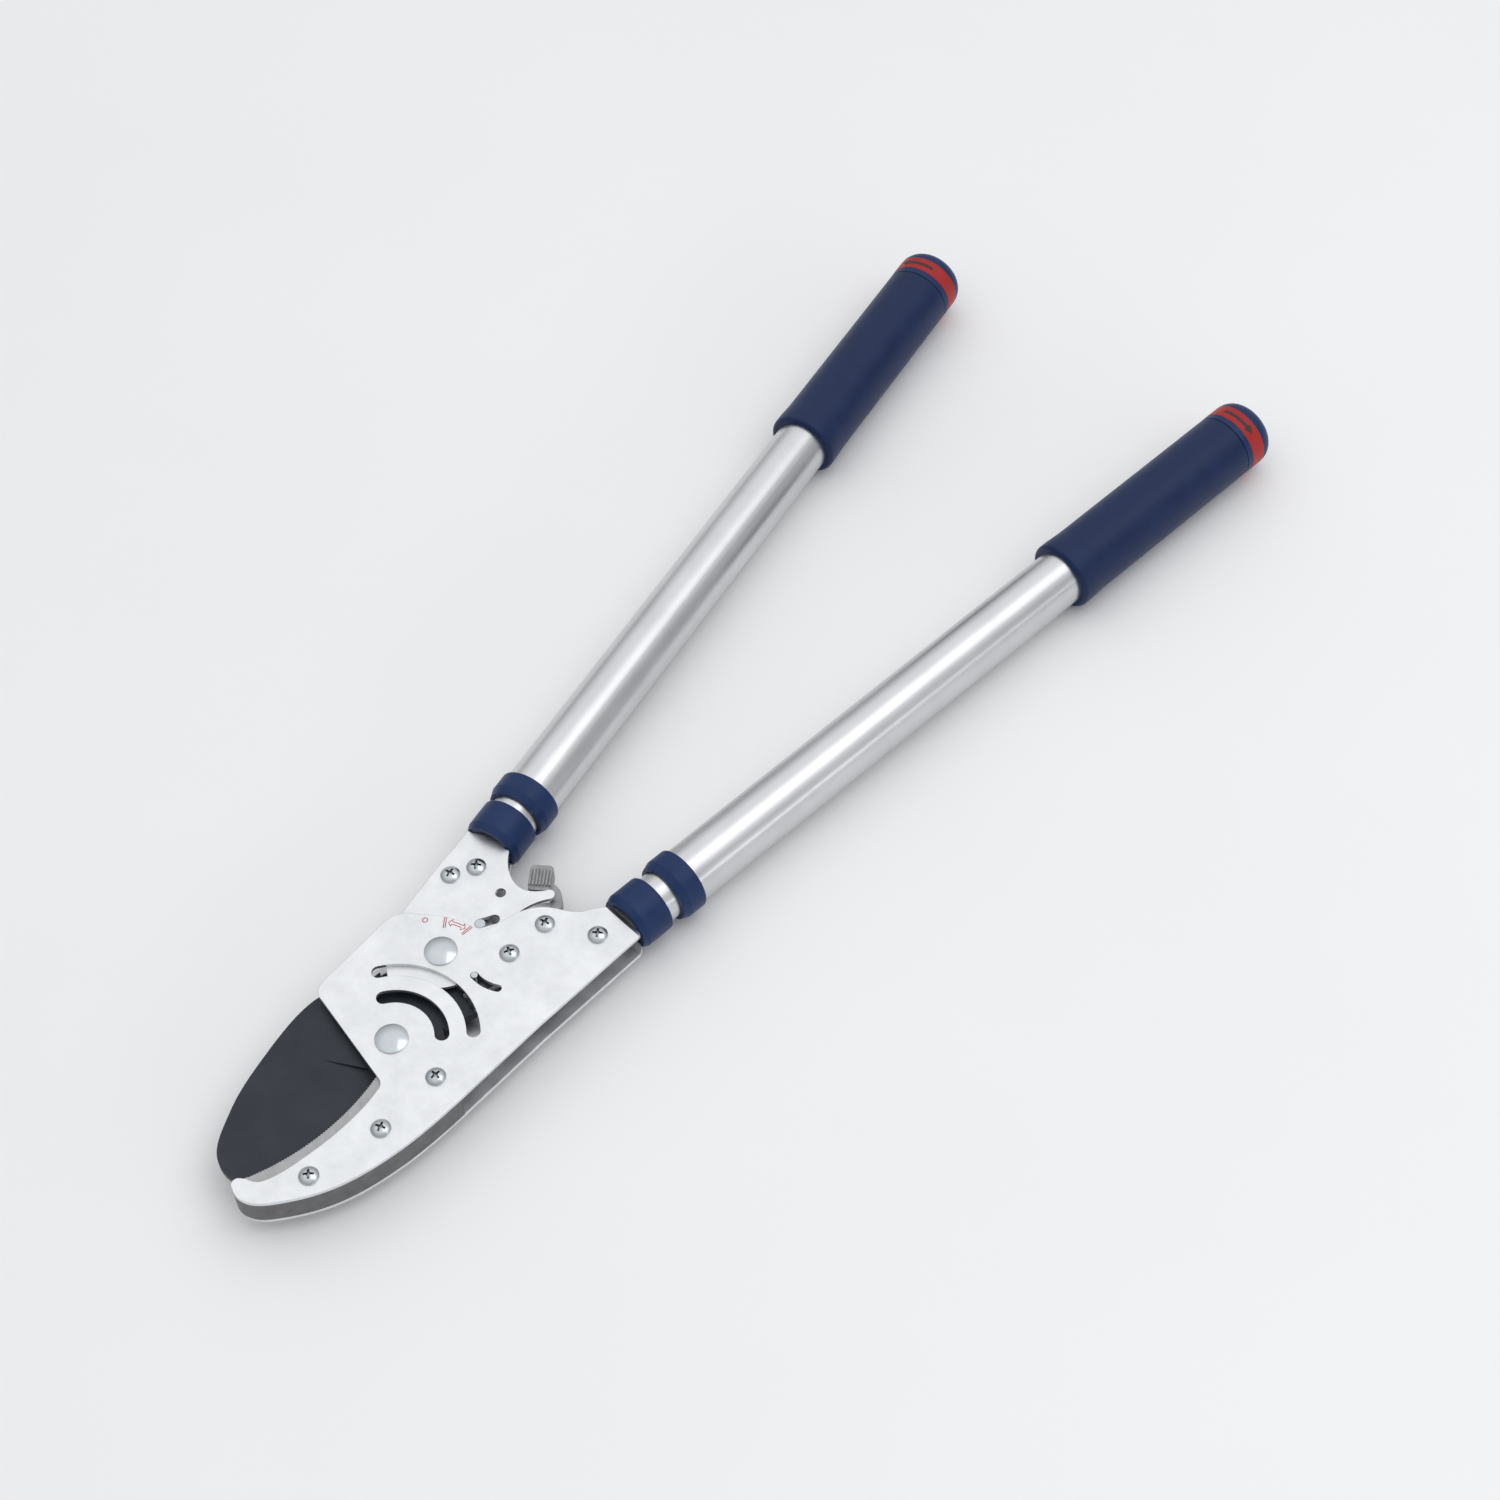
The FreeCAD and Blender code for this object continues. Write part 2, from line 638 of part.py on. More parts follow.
def holding_pawl_spring():
    """Torsion spring round the sleeve, over the pawl."""
    helix = Part.makeHelix(SPRING_PITCH, SPRING_TURNS * SPRING_PITCH, SPRING_R)
    start = Vector(SPRING_R, 0, 0)
    section = Part.Wire(Part.makeCircle(SPRING_WIRE_R, start, Vector(0, 1, 0)))
    coil = Part.Wire(helix).makePipeShell([section], True, True)
    coil.rotate(Vector(0, 0, 0), Vector(0, 0, 1), SPRING_END_ANGLE)
    coil.translate(at(PAWL_SCREW, PAWL_HALF + SPRING_WIRE_R + 0.25))
    return coil


# ---- thumb lever that locks the handles shut ------------------------------------------------
PAD_CENTRE = (-22.9, 115.1)
PAD_HALF_LENGTH = 7.5
PAD_HALF_WIDTH = 5.9
PAD_TURN = 41.0
PAD_RIBS = 7
PAD_CORNER_R = 2.6
PAD_TOP = 3.2
RIB_WIDTH = 0.95
RIB_HEIGHT = 1.0


def lever_pad():
    """Ribbed thumb pad with rounded corners; the ribs run along its length."""
    half_l, half_w = PAD_HALF_LENGTH, PAD_HALF_WIDTH
    low_corner = Vector(-half_w, -half_l, -LEVER_HALF)
    pad = Part.makeBox(2 * half_w, 2 * half_l, PAD_TOP + LEVER_HALF, low_corner)
    upright = [e for e in pad.Edges if abs(e.tangentAt(e.FirstParameter).z) > 0.9]
    pad = pad.makeFillet(PAD_CORNER_R, upright)
    spacing = 2 * half_w / PAD_RIBS
    ribs = [
        Part.makeBox(
            RIB_WIDTH, 2 * (half_l - PAD_CORNER_R), RIB_HEIGHT,
            Vector(spacing * (i + 0.5) - half_w - RIB_WIDTH / 2, PAD_CORNER_R - half_l, PAD_TOP),
        )
        for i in range(PAD_RIBS)
    ]
    pad = pad.fuse(ribs)
    pad.rotate(Vector(0, 0, 0), Vector(0, 0, 1), PAD_TURN)
    pad.translate(at(PAD_CENTRE))
    return pad


def lock_lever():
    """Hub on its sleeve, curved neck and thumb pad, all in one casting."""
    hub = disc(LEVER_SCREW, 7.0, -LEVER_HALF, LEVER_HALF)
    outer = [(-3.6, 99.4), (-6.2, 106.0), (-10.5, 110.6), (-16.6, 112.0)]
    inner = [(-17.6, 117.0), (-11.0, 117.2), (-4.0, 112.4), (-0.6, 102.3)]
    neck_edges = [curve(outer), line(outer[-1], inner[0]), curve(inner), line(inner[-1], outer[0])]
    neck = prism(neck_edges, -LEVER_HALF, 2.4)
    lever = hub.fuse([neck, lever_pad()]).removeSplitter()
    return lever.cut(disc(LEVER_SCREW, SLEEVE_R + RUNNING_GAP, -10, 10))


# ---- handles, drawn along +Y from the ferrule's jaw end, then put in place -------------------
def tube_profile(radius):
    """Round tube section with a slightly raised crown on its upper and lower sides."""
    def on_rim(angle):
        return Vector(radius * math.sin(math.radians(angle)), 0, radius * math.cos(math.radians(angle)))

    crease = CROWN_HALF_ANGLE
    top = Vector(0, 0, radius + CROWN_RISE)
    bottom = Vector(0, 0, -radius - CROWN_RISE)
    return Part.Wire([
        Part.Arc(on_rim(-crease), top, on_rim(crease)).toShape(),
        Part.Arc(on_rim(crease), on_rim(90), on_rim(180 - crease)).toShape(),
        Part.Arc(on_rim(180 - crease), bottom, on_rim(180 + crease)).toShape(),
        Part.Arc(on_rim(180 + crease), on_rim(270), on_rim(360 - crease)).toShape(),
    ])


def tube_prism(radius, start, end):
    solid = Part.Face(tube_profile(radius)).extrude(Vector(0, end - start, 0))
    solid.translate(Vector(0, start, 0))
    return solid


def rod(radius, start, end):
    return Part.makeCylinder(radius, end - start, Vector(0, start, 0), Vector(0, 1, 0))


def turned(profile):
    """A solid turned about the handle's axis from (radius, station) points."""
    wire = Part.makePolygon([Vector(r, s, 0) for r, s in profile + profile[:1]])
    return Part.Face(wire).revolve(Vector(0, 0, 0), Vector(0, 1, 0), 360)


def rounded(solid, radius, start, fillet):
    """Round the circular edges of a turned piece that lie at one station and radius."""
    edges = [
        e for e in solid.Edges
        if isinstance(e.Curve, Part.Circle)
        and abs(e.Curve.Radius - radius) < 0.01
        and abs(e.Curve.Center.y - start) < 0.01
    ]
    return solid.makeFillet(fillet, edges)


def inner_tube():
    tube = tube_prism(INNER_TUBE_R, INNER_TUBE_START, INNER_TUBE_END)
    return tube.cut([
        tube_prism(INNER_TUBE_BORE, INNER_TUBE_START - 1, INNER_TUBE_END + 1), tang_pin()
    ])


def tang_pin():
    length = 2 * (INNER_TUBE_R + 0.2)
    return Part.makeCylinder(TANG_PIN_R, length, Vector(0, TANG_PIN_AT, -length / 2))


def tang_core():
    """Block that fills the space between the two plate necks inside the tube."""
    block = Part.makeBox(
        2 * TANG_HALF_WIDTH, TANG_END, 2 * INNER_PLATE_LOW, Vector(-TANG_HALF_WIDTH, 0, -INNER_PLATE_LOW)
    )
    return block.cut(tang_pin())


def ferrule():
    body = turned([
        (0, 0), (FERRULE_CHAMFER_R, 0), (FERRULE_R, FERRULE_CHAMFER_END), (FERRULE_R, FERRULE_END),
        (0, FERRULE_END),
    ])
    body = rounded(body, FERRULE_R, FERRULE_END, 1.4)
    body = rounded(body, FERRULE_R, FERRULE_CHAMFER_END, 1.0)
    bore = tube_prism(INNER_TUBE_R, INNER_TUBE_START, FERRULE_END + 1)
    return body.cut([bore, rod(FERRULE_MOUTH_R, -1, INNER_TUBE_START + 1)])


def tube_end_bush():
    length = 8.0
    plug = tube_prism(INNER_TUBE_BORE, INNER_TUBE_END - length, INNER_TUBE_END)
    return plug.cut(rod(LOCK_ROD_R + RUNNING_GAP, INNER_TUBE_END - length - 1, INNER_TUBE_END + 1))


def outer_tube():
    tube = tube_prism(OUTER_TUBE_R, OUTER_TUBE_START, OUTER_TUBE_END)
    return tube.cut(tube_prism(OUTER_TUBE_BORE, OUTER_TUBE_START - 1, OUTER_TUBE_END + 1))


def tube_ring():
    chamfer_end = RING_START + RING_CHAMFER_LENGTH
    body = turned([
        (0, RING_START), (RING_CHAMFER_R, RING_START), (RING_R, chamfer_end), (RING_R, RING_END),
        (0, RING_END),
    ])
    body = rounded(body, RING_R, RING_END, 1.2)
    body = rounded(body, RING_R, chamfer_end, 0.8)
    lip_bore = tube_prism(OUTER_TUBE_BORE, RING_START - 1, OUTER_TUBE_START)
    return body.cut([lip_bore, tube_prism(OUTER_TUBE_R, OUTER_TUBE_START, RING_END + 1)])


def grip():
    """Moulded sleeve with a rounded lip at its inner end and a slight taper."""
    body = turned([
        (0, GRIP_START), (GRIP_LIP_R, GRIP_START), (GRIP_LIP_R, GRIP_START + GRIP_LIP_LENGTH),
        (GRIP_R, GRIP_START + GRIP_NECK_LENGTH), (GRIP_TIP_R, GRIP_END), (0, GRIP_END),
    ])
    body = rounded(body, GRIP_LIP_R, GRIP_START, 2.4)
    body = rounded(body, GRIP_TIP_R, GRIP_END, 0.3)
    return body.cut(tube_prism(OUTER_TUBE_R, GRIP_START - 1, GRIP_END + 1))


def end_knob():
    """Twist knob: skirt, seat for the coloured band, domed end, spigot into the tube."""
    body = turned([
        (0, KNOB_START), (KNOB_R, KNOB_START), (KNOB_R, BAND_START), (BAND_SEAT_R, BAND_START),
        (BAND_SEAT_R, BAND_END), (KNOB_R, BAND_END), (KNOB_R, HANDLE_END), (0, HANDLE_END),
    ])
    body = rounded(body, KNOB_R, HANDLE_END, HANDLE_END_ROUND)
    body = rounded(body, KNOB_R, KNOB_START, 0.3)
    spigot = rod(SPIGOT_R, KNOB_START - SPIGOT_LENGTH, KNOB_START + 1)
    seat = rod(LOCK_ROD_R, KNOB_START - SPIGOT_LENGTH - 1, KNOB_START + ROD_SEAT_DEPTH)
    return body.fuse(spigot).removeSplitter().cut(seat)


def knob_band():
    ring = rod(KNOB_R + 0.1, BAND_START, BAND_END)
    return ring.cut(rod(BAND_SEAT_R, BAND_START - 1, BAND_END + 1))


def lock_rod():
    return rod(LOCK_ROD_R, LOCK_START, KNOB_START + ROD_SEAT_DEPTH)


def lock_expander():
    """Tapered jaw near the rod's end that wedges inside the inner tube when the knob turns."""
    wide = INNER_TUBE_BORE - 0.4
    body = turned([
        (0, LOCK_START + 2), (wide - 2.5, LOCK_START + 2), (wide, LOCK_START + 8),
        (wide, LOCK_START + 20), (wide - 2.5, LOCK_START + 26), (0, LOCK_START + 26),
    ])
    cut = Part.makeBox(1.6, 14.0, 40.0, Vector(-0.8, LOCK_START + 1, -20))
    return body.cut([rod(LOCK_ROD_R, LOCK_START, LOCK_START + 30), cut])


def on_fixed_axis(shape):
    moved = shape.copy()
    moved.translate(Vector(FIXED_AXIS_X, FIXED_FERRULE_Y, 0))
    return moved


def on_moving_axis(shape, set_in):
    """The piece on the moving handle, pushed in by a given length."""
    moved = shape.copy()
    moved.translate(Vector(0, -set_in, 0))
    moved.rotate(Vector(0, 0, 0), Vector(0, 0, 1), HANDLE_SPREAD)
    moved.translate(at(moving_point(0, MOVING_FERRULE_ALONG)))
    return moved


# ---- assembly -------------------------------------------------------------------------------
INNER_PIECES = {
    "tang_core": tang_core,
    "tang_pin": tang_pin,
    "ferrule": ferrule,
    "inner_tube": inner_tube,
    "tube_end_bush": tube_end_bush,
}
SLIDING_PIECES = {
    "outer_tube": outer_tube,
    "tube_ring": tube_ring,
    "grip": grip,
    "end_knob": end_knob,
    "knob_band": knob_band,
    "lock_rod": lock_rod,
    "lock_expander": lock_expander,
}


def all_pieces():
    pieces = {
        "front_plate": front_plate(),
        "rear_plate": rear_plate(),
        "jaw_insert": jaw_insert(),
        "blade_pivot_rivet": rivet(BLADE_PIVOT),
        "handle_pivot_rivet": rivet(HANDLE_PIVOT),
        "blade_washers": blade_washers(),
        "plate_sleeves": plate_sleeves(),
        "plate_screws": screws_for(SLEEVED_SCREWS + INSERT_SCREWS, OUTER_PLATE_TOP),
        "plate_nuts": nuts_for(SLEEVED_SCREWS + INSERT_SCREWS, OUTER_PLATE_TOP),
        "blade": blade(),
        "blade_bush": blade_bush(),
        "moving_front_plate": moving_plate(),
        "moving_rear_plate": mirrored(moving_plate()),
        "moving_screws": screws_for(MOVING_SCREWS, INNER_PLATE_TOP),
        "moving_nuts": nuts_for(MOVING_SCREWS, INNER_PLATE_TOP),
        "moving_sleeves": moving_sleeves(),
        "handle_pivot_bush": handle_pivot_bush(),
        "drive_pawl": drive_pawl(),
        "drive_pawl_pin": drive_pawl_pin(),
        "holding_pawl": holding_pawl(),
        "holding_pawl_pin": holding_pawl_pin(),
        "holding_pawl_spring": holding_pawl_spring(),
        "lock_lever": lock_lever(),
    }
    for set_in, makers in ((0.0, INNER_PIECES), (MOVING_SET_IN, SLIDING_PIECES)):
        for name, make in makers.items():
            shape = make()
            pieces["fixed_" + name] = on_fixed_axis(shape)
            pieces["moving_" + name] = on_moving_axis(shape, set_in)
    return pieces


def underside_middle(pieces):
    """Middle of the underside of the box round the whole tool."""
    boxes = [shape.optimalBoundingBox(False) for shape in pieces.values()]
    return Vector(
        (min(b.XMin for b in boxes) + max(b.XMax for b in boxes)) / 2,
        (min(b.YMin for b in boxes) + max(b.YMax for b in boxes)) / 2,
        min(b.ZMin for b in boxes),
    )


def main():
    os.makedirs("parts", exist_ok=True)
    pieces = all_pieces()
    origin = underside_middle(pieces)
    for name, shape in pieces.items():
        shape.translate(origin.negative())
        shape.exportStep("parts/" + name + ".step")
    print("origin in the head's own frame:", origin.x, origin.y, origin.z)
    return pieces


main()
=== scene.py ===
"""Ratchet bypass loppers: materials, printed marks, floor, light and camera round the CAD frame."""
import json
import math
from collections import namedtuple

import bpy
from mathutils import Matrix, Vector


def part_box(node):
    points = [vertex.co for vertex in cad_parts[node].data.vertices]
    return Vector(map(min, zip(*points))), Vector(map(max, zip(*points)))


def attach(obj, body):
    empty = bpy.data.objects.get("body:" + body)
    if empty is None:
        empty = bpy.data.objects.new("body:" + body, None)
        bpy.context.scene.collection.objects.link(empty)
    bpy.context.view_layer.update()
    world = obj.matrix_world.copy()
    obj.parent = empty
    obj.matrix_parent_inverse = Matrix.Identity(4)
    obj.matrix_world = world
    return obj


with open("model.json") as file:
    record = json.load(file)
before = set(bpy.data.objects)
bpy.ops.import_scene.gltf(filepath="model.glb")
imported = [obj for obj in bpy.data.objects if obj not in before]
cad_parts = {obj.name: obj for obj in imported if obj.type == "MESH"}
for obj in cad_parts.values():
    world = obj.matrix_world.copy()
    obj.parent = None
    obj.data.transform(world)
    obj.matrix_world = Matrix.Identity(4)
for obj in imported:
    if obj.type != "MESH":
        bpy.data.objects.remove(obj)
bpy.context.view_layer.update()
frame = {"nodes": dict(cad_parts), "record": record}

MM = 0.001
UP = Vector((0.0, 0.0, 1.0))
JOINTS = {joint["name"]: joint for joint in frame["record"]["behaviour"]["joints"]}
BLADE_PIVOT = Vector(JOINTS["blade_hinge"]["pos_m"])
HANDLE_PIVOT = Vector(JOINTS["handle_hinge"]["pos_m"])
PLATE_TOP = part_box("front_plate")[1][2]

# ---- shape of the textures ------------------------------------------------------------------
# Most of a noise texture's values lie between these two.
NOISE_LOW = 0.3
NOISE_HIGH = 0.7
NOISE_DETAIL = 4.0
NOISE_ROUGHNESS = 0.55
# Painted shade in corners: a corner gets the full painted shade below the first openness and none
# above the second.
CORNER_FULL_SHADE = 0.35
CORNER_NO_SHADE = 0.95
CORNER_SAMPLES = 8
EDGE_SAMPLES = 6

# Noise with a scale in repeats per metre, and relief made from such noise.
Cloud = namedtuple("Cloud", "scale detail roughness", defaults=(NOISE_DETAIL, NOISE_ROUGHNESS))
Grain = namedtuple("Grain", "scale depth strength edge_radius detail", defaults=(NOISE_DETAIL,))


# ---- material helpers -----------------------------------------------------------------------
def new_material(name, colour, metallic, roughness):
    """A principled material with plain values; returns it with its node tree and its shader."""
    material = bpy.data.materials.new(name)
    material.use_nodes = True
    tree = material.node_tree
    shader = tree.nodes["Principled BSDF"]
    shader.inputs["Base Color"].default_value = (*colour, 1.0)
    shader.inputs["Metallic"].default_value = metallic
    shader.inputs["Roughness"].default_value = roughness
    return material, tree, shader


def object_position(tree, stretch=(1.0, 1.0, 1.0), turn=0.0):
    """Object coordinates, scaled by stretch after a turn about Z in degrees."""
    coordinates = tree.nodes.new("ShaderNodeTexCoord")
    turned = tree.nodes.new("ShaderNodeMapping")
    turned.inputs["Rotation"].default_value = (0.0, 0.0, math.radians(turn))
    scaled = tree.nodes.new("ShaderNodeMapping")
    scaled.inputs["Scale"].default_value = stretch
    tree.links.new(coordinates.outputs["Object"], turned.inputs["Vector"])
    tree.links.new(turned.outputs["Vector"], scaled.inputs["Vector"])
    return scaled.outputs["Vector"]


def noise(tree, position, scale, detail=NOISE_DETAIL, roughness=NOISE_ROUGHNESS):
    """Value of a noise texture at a position."""
    texture = tree.nodes.new("ShaderNodeTexNoise")
    texture.inputs["Scale"].default_value = scale
    texture.inputs["Detail"].default_value = detail
    texture.inputs["Roughness"].default_value = roughness
    tree.links.new(position, texture.inputs["Vector"])
    return texture.outputs["Fac"]


def spread(tree, value, low, high, from_low=NOISE_LOW, from_high=NOISE_HIGH):
    """Maps a texture's value onto a range."""
    mapping = tree.nodes.new("ShaderNodeMapRange")
    mapping.inputs["From Min"].default_value = from_low
    mapping.inputs["From Max"].default_value = from_high
    mapping.inputs["To Min"].default_value = low
    mapping.inputs["To Max"].default_value = high
    tree.links.new(value, mapping.inputs["Value"])
    return mapping.outputs["Result"]


def ramp_of(tree, value, dark, light, from_low=NOISE_LOW, from_high=NOISE_HIGH):
    """Maps a texture's value onto the colours from dark to light."""
    ramp = tree.nodes.new("ShaderNodeValToRGB")
    ramp.color_ramp.elements[0].position = from_low
    ramp.color_ramp.elements[0].color = (*dark, 1.0)
    ramp.color_ramp.elements[1].position = from_high
    ramp.color_ramp.elements[1].color = (*light, 1.0)
    tree.links.new(value, ramp.inputs["Fac"])
    return ramp.outputs["Color"]


def tint(tree, shader, value, dark, light, from_low=NOISE_LOW, from_high=NOISE_HIGH):
    """Base colour that wanders between two tones."""
    colour = ramp_of(tree, value, dark, light, from_low, from_high)
    tree.links.new(colour, shader.inputs["Base Color"])


def mix_colours(tree, factor, at_zero, at_one):
    """Mix of two colours; at_zero is a linked colour or a plain one."""
    mixed = tree.nodes.new("ShaderNodeMix")
    mixed.data_type = "RGBA"
    if isinstance(at_zero, tuple):
        mixed.inputs["A"].default_value = (*at_zero, 1.0)
    else:
        tree.links.new(at_zero, mixed.inputs["A"])
    tree.links.new(factor, mixed.inputs["Factor"])
    tree.links.new(at_one, mixed.inputs["B"])
    return mixed.outputs["Result"]


def shade_recesses(tree, shader, unshaded_tone, reach, shade_colour):
    """Painted shade in corners closer than reach to another face, darkening the unshaded colour."""
    corner = tree.nodes.new("ShaderNodeAmbientOcclusion")
    corner.samples = CORNER_SAMPLES
    corner.only_local = True
    corner.inputs["Distance"].default_value = reach
    openness = spread(tree, corner.outputs["AO"], 0.0, 1.0, CORNER_FULL_SHADE, CORNER_NO_SHADE)
    tree.links.new(mix_colours(tree, openness, shade_colour, unshaded_tone), shader.inputs["Base Color"])


def bump(tree, shader, height, depth, strength, edge_radius=0.0):
    """Surface relief of the given depth in metres, over edges softened to edge_radius."""
    relief = tree.nodes.new("ShaderNodeBump")
    relief.inputs["Strength"].default_value = strength
    relief.inputs["Distance"].default_value = depth
    tree.links.new(height, relief.inputs["Height"])
    if edge_radius:
        soft = tree.nodes.new("ShaderNodeBevel")
        soft.samples = EDGE_SAMPLES
        soft.inputs["Radius"].default_value = edge_radius
        tree.links.new(soft.outputs["Normal"], relief.inputs["Normal"])
    tree.links.new(relief.outputs["Normal"], shader.inputs["Normal"])


def wander(tree, shader, cloud, gloss, grain=None):
    """Roughness that wanders within gloss over a cloud, and a grain; returns the cloud's value."""
    place = object_position(tree)
    value = noise(tree, place, *cloud)
    tree.links.new(spread(tree, value, *gloss), shader.inputs["Roughness"])
    if grain:
        height = noise(tree, place, grain.scale, grain.detail)
        bump(tree, shader, height, grain.depth, grain.strength, grain.edge_radius)
    return value


def mottled(name, plain, metallic, roughness, cloud, tones, gloss, grain=None):
    """Material whose colour and roughness wander together over one cloud."""
    material, tree, shader = new_material(name, plain, metallic, roughness)
    tint(tree, shader, wander(tree, shader, cloud, gloss, grain), *tones)
    return material


# ---- materials ------------------------------------------------------------------------------
STREAK_DETAIL = 3.0
MOULDED_SPECULAR = 0.28
MOULDED_EDGE_RADIUS = 0.3 * MM


def satin_zinc():
    """Stamped plate, plated over a fine mottled grain."""
    return mottled(
        "satin_zinc_plate", plain=(0.80, 0.81, 0.83), metallic=1.0, roughness=0.42,
        cloud=Cloud(90.0, 6.0, 0.6), tones=((0.74, 0.75, 0.77), (0.88, 0.89, 0.91)),
        gloss=(0.36, 0.50), grain=Grain(900.0, 0.02 * MM, 0.5, 0.45 * MM, detail=3.0),
    )


def grey_steel():
    """Sintered jaw insert, grey, with painted light: faces lying flat are painted lighter and
    upright faces darker.
    """
    material, tree, shader = new_material("phosphated_jaw", (0.24, 0.24, 0.25), 0.55, 0.5)
    cloud = wander(
        tree, shader, Cloud(160.0, 6.0, 0.65), gloss=(0.42, 0.58),
        grain=Grain(1500.0, 0.04 * MM, 0.7, 0.3 * MM),
    )
    # Painted light: the darker tone for upright faces and the lighter tone for flat faces stand in
    # for how light from above falls.
    upright_shade_tone = ramp_of(tree, cloud, (0.12, 0.12, 0.122), (0.20, 0.20, 0.202))
    flat_light_tone = ramp_of(tree, cloud, (0.36, 0.36, 0.365), (0.50, 0.50, 0.505))
    # Painted light: the mix follows the normal's slope, from the upright tone at upright faces to
    # the flat tone at flat faces.
    geometry = tree.nodes.new("ShaderNodeNewGeometry")
    facing = tree.nodes.new("ShaderNodeSeparateXYZ")
    level = tree.nodes.new("ShaderNodeMath")
    level.operation = "ABSOLUTE"
    tree.links.new(geometry.outputs["True Normal"], facing.inputs["Vector"])
    tree.links.new(facing.outputs["Z"], level.inputs[0])
    colour = mix_colours(tree, level.outputs["Value"], upright_shade_tone, flat_light_tone)
    tree.links.new(colour, shader.inputs["Base Color"])
    return material


def coated_blade():
    """Charcoal low-friction coating with faint rubbing marks along the cut."""
    material, tree, shader = new_material("coated_blade", (0.020, 0.024, 0.031), 0.25, 0.45)
    place = object_position(tree)
    cloud = noise(tree, place, 45.0, 6.0, 0.6)
    along_cut = object_position(tree, stretch=(900.0, 14.0, 60.0), turn=-8.0)
    streaks = noise(tree, along_cut, 1.0, STREAK_DETAIL)
    tint(tree, shader, cloud, (0.015, 0.021, 0.031), (0.025, 0.031, 0.044))
    tree.links.new(spread(tree, streaks, 0.42, 0.50), shader.inputs["Roughness"])
    bump(tree, shader, noise(tree, place, 2200.0), 0.01 * MM, 0.6, 0.3 * MM)
    return material


def bright_zinc():
    """Polished rivets, screws and nuts with a cool passivated tone, and painted shade darkening the
    recesses.
    """
    material, tree, shader = new_material("bright_zinc", (0.56, 0.59, 0.62), 1.0, 0.2)
    cloud = wander(
        tree, shader, Cloud(60.0, 4.0, 0.5), gloss=(0.17, 0.25),
        grain=Grain(800.0, 0.003 * MM, 0.5, 0.2 * MM),
    )
    unshaded_tone = ramp_of(tree, cloud, (0.50, 0.54, 0.575), (0.62, 0.645, 0.67))
    # Painted shade: the colour goes near-black where ambient occlusion finds another face within
    # 2.2 mm.
    shade_recesses(tree, shader, unshaded_tone, reach=2.2 * MM, shade_colour=(0.05, 0.055, 0.06))
    return material


def oiled_steel():
    """Hardened pawls, sleeves, rods and spring wire under a film of oil."""
    return mottled(
        "oiled_steel", plain=(0.36, 0.37, 0.39), metallic=1.0, roughness=0.36,
        cloud=Cloud(220.0, 6.0, 0.6), tones=((0.29, 0.30, 0.315), (0.44, 0.45, 0.47)),
        gloss=(0.28, 0.46), grain=Grain(1400.0, 0.02 * MM, 0.5, 0.2 * MM),
    )


def cast_lever():
    """Cast thumb lever, grey with lighter wear."""
    return mottled(
        "cast_lever", plain=(0.22, 0.22, 0.225), metallic=0.7, roughness=0.5,
        cloud=Cloud(350.0, 6.0, 0.7), tones=((0.24, 0.24, 0.245), (0.42, 0.42, 0.425)),
        gloss=(0.42, 0.60), grain=Grain(1800.0, 0.04 * MM, 0.7, 0.25 * MM),
    )


def anodised(turn):
    """Drawn aluminium tube, satin anodised, with fine drawing lines along its axis."""
    material, tree, shader = new_material("anodised_tube", (0.65, 0.655, 0.67), 1.0, 0.32)
    along_tube = object_position(tree, stretch=(1400.0, 6.0, 1400.0), turn=turn)
    lines = noise(tree, along_tube, 1.0, STREAK_DETAIL)
    cloud = noise(tree, object_position(tree), 30.0)
    tint(tree, shader, cloud, (0.62, 0.625, 0.64), (0.68, 0.685, 0.70))
    tree.links.new(spread(tree, lines, 0.27, 0.38), shader.inputs["Roughness"])
    bump(tree, shader, lines, 0.01 * MM, 0.4)
    return material


def moulded(name, tones, gloss, grain_scale, grain_depth):
    """Injection-moulded plastic or rubber with a fine eroded texture."""
    material = mottled(
        name, plain=tones[1], metallic=0.0, roughness=sum(gloss) / 2,
        cloud=Cloud(60.0, 5.0, 0.6), tones=tones, gloss=gloss,
        grain=Grain(grain_scale, grain_depth, 0.7, MOULDED_EDGE_RADIUS),
    )
    shader = material.node_tree.nodes["Principled BSDF"]
    shader.inputs["Specular IOR Level"].default_value = MOULDED_SPECULAR
    return material


def bronze():
    """Sintered bronze bushes and washers."""
    return mottled(
        "bronze_bush", plain=(0.5, 0.34, 0.16), metallic=1.0, roughness=0.35,
        cloud=Cloud(300.0, 5.0), tones=((0.40, 0.27, 0.13), (0.58, 0.41, 0.21)),
        gloss=(0.28, 0.45),
    )


def print_ink():
    """Red print on the plate, worn to a paler tone."""
    material, tree, shader = new_material("red_print", (0.42, 0.05, 0.06), 0.0, 0.6)
    worn = noise(tree, object_position(tree), 900.0)
    tint(tree, shader, worn, (0.46, 0.10, 0.11), (0.60, 0.27, 0.28), from_low=0.35, from_high=0.75)
    return material


def dark_ink():
    """Dark print on the red bands."""
    material, tree, shader = new_material("dark_print", (0.05, 0.02, 0.03), 0.0, 0.55)
    worn = noise(tree, object_position(tree), 700.0)
    tint(tree, shader, worn, (0.022, 0.010, 0.022), (0.055, 0.016, 0.026))
    return material


def handle_turn(side):
    """Angle from a handle's axis to +Y, in degrees."""
    axis = JOINTS[side + "_extension_slide"]["axis"]
    return math.degrees(math.atan2(axis[0], axis[1]))


